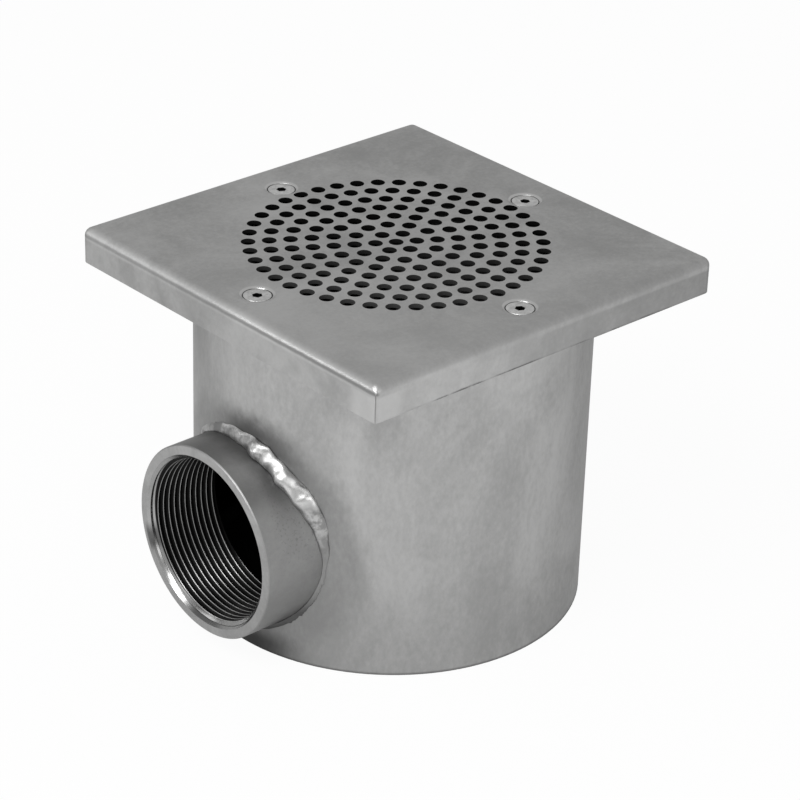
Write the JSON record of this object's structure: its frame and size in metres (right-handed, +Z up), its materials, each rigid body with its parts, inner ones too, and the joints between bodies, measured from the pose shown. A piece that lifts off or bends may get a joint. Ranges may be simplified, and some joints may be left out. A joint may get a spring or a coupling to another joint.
{
  "type": "pool floor drain",
  "caption": "Square pool floor drain: perforated screwed-down cover on a round welded pot with a threaded side outlet.",
  "frame": {"origin": "centre of the underside of the base", "axes": "+Z up along the pot's axis towards the cover, and the outlet faces -X"},
  "size_m": [0.1575, 0.15, 0.128],
  "materials": {
    "cover_sheet": "pickled sheet stainless steel, matte",
    "pot_sheet": "rolled sheet stainless steel, cloudy matte",
    "socket_steel": "turned stainless steel",
    "weld_bead": "bright hand-laid weld bead",
    "screw_steel": "bright stainless screw heads",
    "lug_steel": "plain stainless bar"
  },
  "bodies": {
    "root": {"cover": "cover_sheet", "cover_screw_1": "screw_steel", "cover_screw_2": "screw_steel", "cover_screw_3": "screw_steel", "cover_screw_4": "screw_steel", "screw_lug_1": "lug_steel", "screw_lug_2": "lug_steel", "screw_lug_3": "lug_steel", "screw_lug_4": "lug_steel", "lug_weld_1": "weld_bead", "lug_weld_2": "weld_bead", "lug_weld_3": "weld_bead", "lug_weld_4": "weld_bead", "pot_shell": "pot_sheet", "base_disc": "pot_sheet", "base_weld": "weld_bead", "outlet_socket": "socket_steel", "outlet_weld": "weld_bead"}
  },
  "joints": []
}
